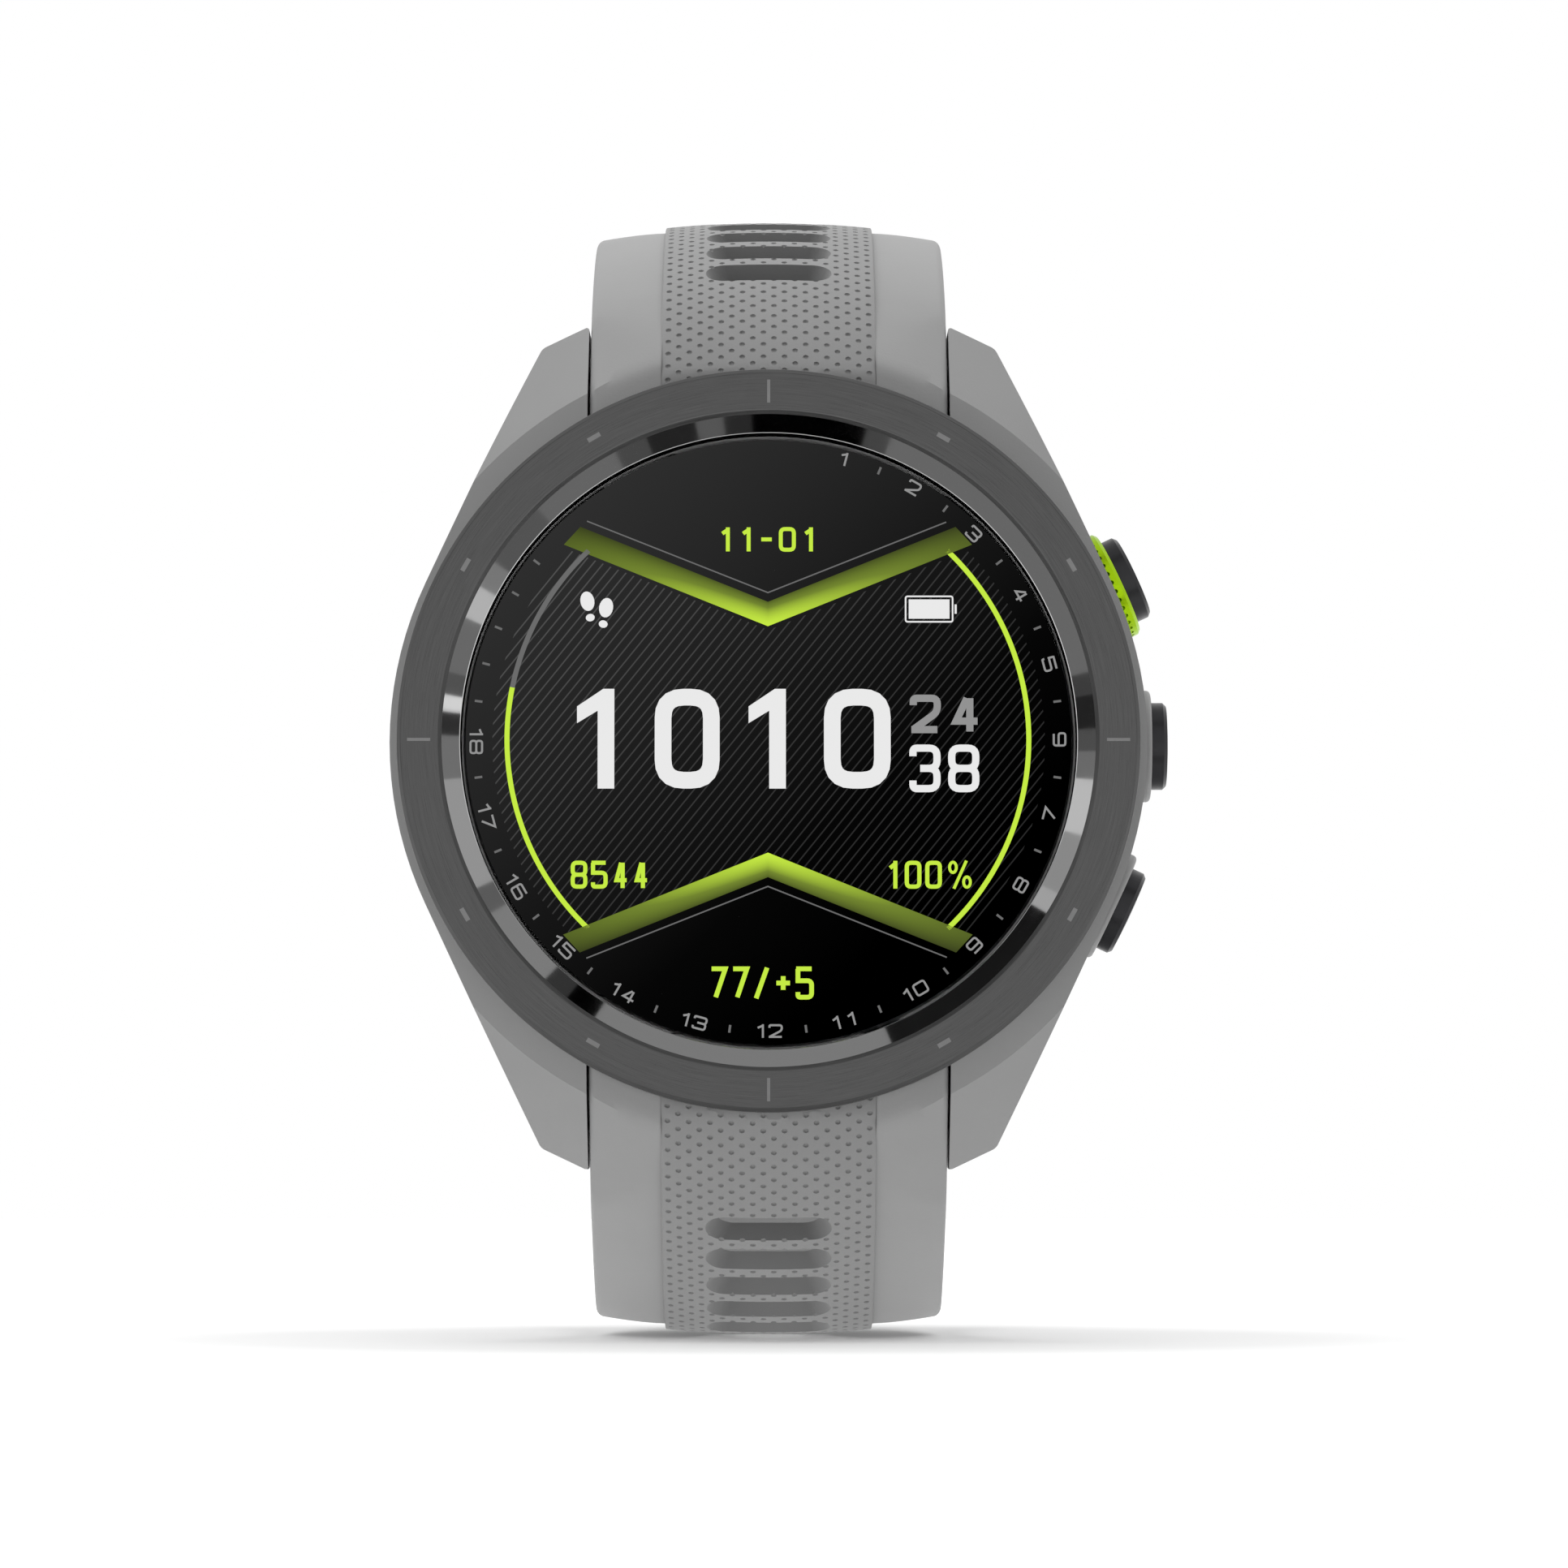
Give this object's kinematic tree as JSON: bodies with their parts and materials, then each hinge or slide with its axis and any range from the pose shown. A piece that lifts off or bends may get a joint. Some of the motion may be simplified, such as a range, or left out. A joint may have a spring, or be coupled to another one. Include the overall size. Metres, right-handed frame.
{
  "type": "golf gps watch",
  "caption": "Round golf watch with a flat bezel, side buttons, a screen under glass and a perforated silicone strap closed in a loop by a buckle.",
  "frame": {"origin": "centre of the sensor window's flat face on the back of the head, where it meets the wrist", "axes": "+Y out of the back of the head, towards the wrist, so that the dial faces -Y; +Z towards twelve o'clock; +X towards three o'clock and the buttons"},
  "size_m": [0.0441, 0.0582, 0.0661],
  "materials": {
    "case": "fine matt light grey fibre-reinforced plastic",
    "bezel": "dark grey, brushed round the ring, with a polished inner slope",
    "bezel_mark": "thin light grey inlay",
    "adhesive": "black bonding film",
    "glass": "polished clear cover",
    "display": "black display with an image on it",
    "flex": "amber flexible circuit",
    "chassis": "black moulded frame",
    "battery": "foil pouch cell",
    "board": "green circuit board",
    "chip": "black chip packages",
    "tin": "tinned sheet steel",
    "steel": "bright stainless steel",
    "brass": "gold-plated contacts",
    "tungsten": "sintered heavy metal",
    "cover": "black plastic back",
    "window": "dark tinted lens",
    "seal": "black elastomer",
    "button": "satin black coated steel",
    "guard": "lime green anodised ring with dimples",
    "bush": "plain bearing bush",
    "switch": "black switch bodies",
    "strap": "soft matt light grey silicone with a dimpled band",
    "insert": "hard grey insert",
    "buckle": "brushed grey steel",
    "vent": "white membrane"
  },
  "bodies": {
    "watch": {"case_body": "case", "pressure_vent_filter": "vent", "bezel": "bezel", "bezel_marks": "bezel_mark", "bezel_adhesive": "adhesive", "cover_glass": "glass", "glass_gasket": "seal", "display_panel": "display", "display_ribbon": "flex", "chassis": "chassis", "battery": "battery", "gnss_antenna": "brass", "main_board": "board", "board_screws": "steel", "board_chips": "chip", "shield_can": "tin", "vibration_motor_can": "steel", "rear_cover": "cover", "rear_cover_screws": "steel", "rear_cover_seal": "seal", "charging_contacts": "brass", "sensor_window": "window", "sensor_board": "board", "sensor_diodes": "chip", "sensor_light_wall": "chip", "button_bushes": "bush", "side_switches": "switch", "start_button_guard": "guard", "lug_bar_upper": "steel", "lug_bar_lower": "steel", "lug_screws": "steel", "strap_upper": "strap", "strap_lower": "strap", "release_housing_upper": "insert", "release_housing_lower": "insert", "release_spring_upper": "steel", "release_spring_lower": "steel", "fixed_keeper": "strap", "button_upper_spring": "steel", "button_middle_spring": "steel", "button_lower_spring": "steel"},
    "button_upper": {"button_upper_cap": "button", "button_upper_seals": "seal", "button_upper_clip": "steel", "switch_plunger_upper": "switch"},
    "button_middle": {"button_middle_cap": "button", "button_middle_seals": "seal", "button_middle_clip": "steel", "switch_plunger_middle": "switch"},
    "button_lower": {"button_lower_cap": "button", "button_lower_seals": "seal", "button_lower_clip": "steel", "switch_plunger_lower": "switch"},
    "latch_upper": {"release_latch_upper": "insert"},
    "latch_lower": {"release_latch_lower": "insert"},
    "buckle": {"buckle_frame": "buckle", "buckle_bar": "steel"},
    "tang": {"buckle_tang": "buckle"},
    "free_keeper": {"free_keeper": "strap"},
    "rotor": {"vibration_rotor": "tungsten"}
  },
  "joints": [
    {"name": "button_upper_press", "type": "slide", "parent": "watch", "child": "button_upper", "axis": [-0.9056, 0, -0.4242], "range_m": [0, 0.0006], "stiffness_N_per_m": 300, "springref_m": -0.001, "deforming": ["button_upper_spring"]},
    {"name": "button_middle_press", "type": "slide", "parent": "watch", "child": "button_middle", "axis": [-1, 0, 0], "range_m": [0, 0.0006], "stiffness_N_per_m": 300, "springref_m": -0.001, "deforming": ["button_middle_spring"]},
    {"name": "button_lower_press", "type": "slide", "parent": "watch", "child": "button_lower", "axis": [-0.9056, 0, 0.4242], "range_m": [0, 0.0006], "stiffness_N_per_m": 300, "springref_m": -0.001, "deforming": ["button_lower_spring"]},
    {"name": "latch_upper_slide", "type": "slide", "parent": "watch", "child": "latch_upper", "axis": [0, 0, 1], "range_m": [0, 0.00105], "stiffness_N_per_m": 200, "springref_m": -0.0005, "deforming": ["release_spring_upper"]},
    {"name": "latch_lower_slide", "type": "slide", "parent": "watch", "child": "latch_lower", "axis": [0, 0, -1], "range_m": [0, 0.00105], "stiffness_N_per_m": 200, "springref_m": -0.0005, "deforming": ["release_spring_lower"]},
    {"name": "buckle_pivot", "type": "hinge", "parent": "watch", "child": "buckle", "pos_m": [0, 0.03921, -0.00853], "axis": [1, 0, 0], "range_deg": [0, 8]},
    {"name": "tang_pivot", "type": "hinge", "parent": "buckle", "child": "tang", "pos_m": [0, 0.03921, -0.00853], "axis": [1, 0, 0], "range_deg": [0, 8]},
    {"name": "keeper_slide", "type": "hinge", "parent": "watch", "child": "free_keeper", "pos_m": [0, 0.01328, 0.00425], "axis": [1, 0, 0], "range_deg": [-8, 14]},
    {"name": "rotor_spin", "type": "hinge", "parent": "watch", "child": "rotor", "pos_m": [0.003, -0.0082, -0.0126], "axis": [0, 1, 0], "continuous": true}
  ]
}
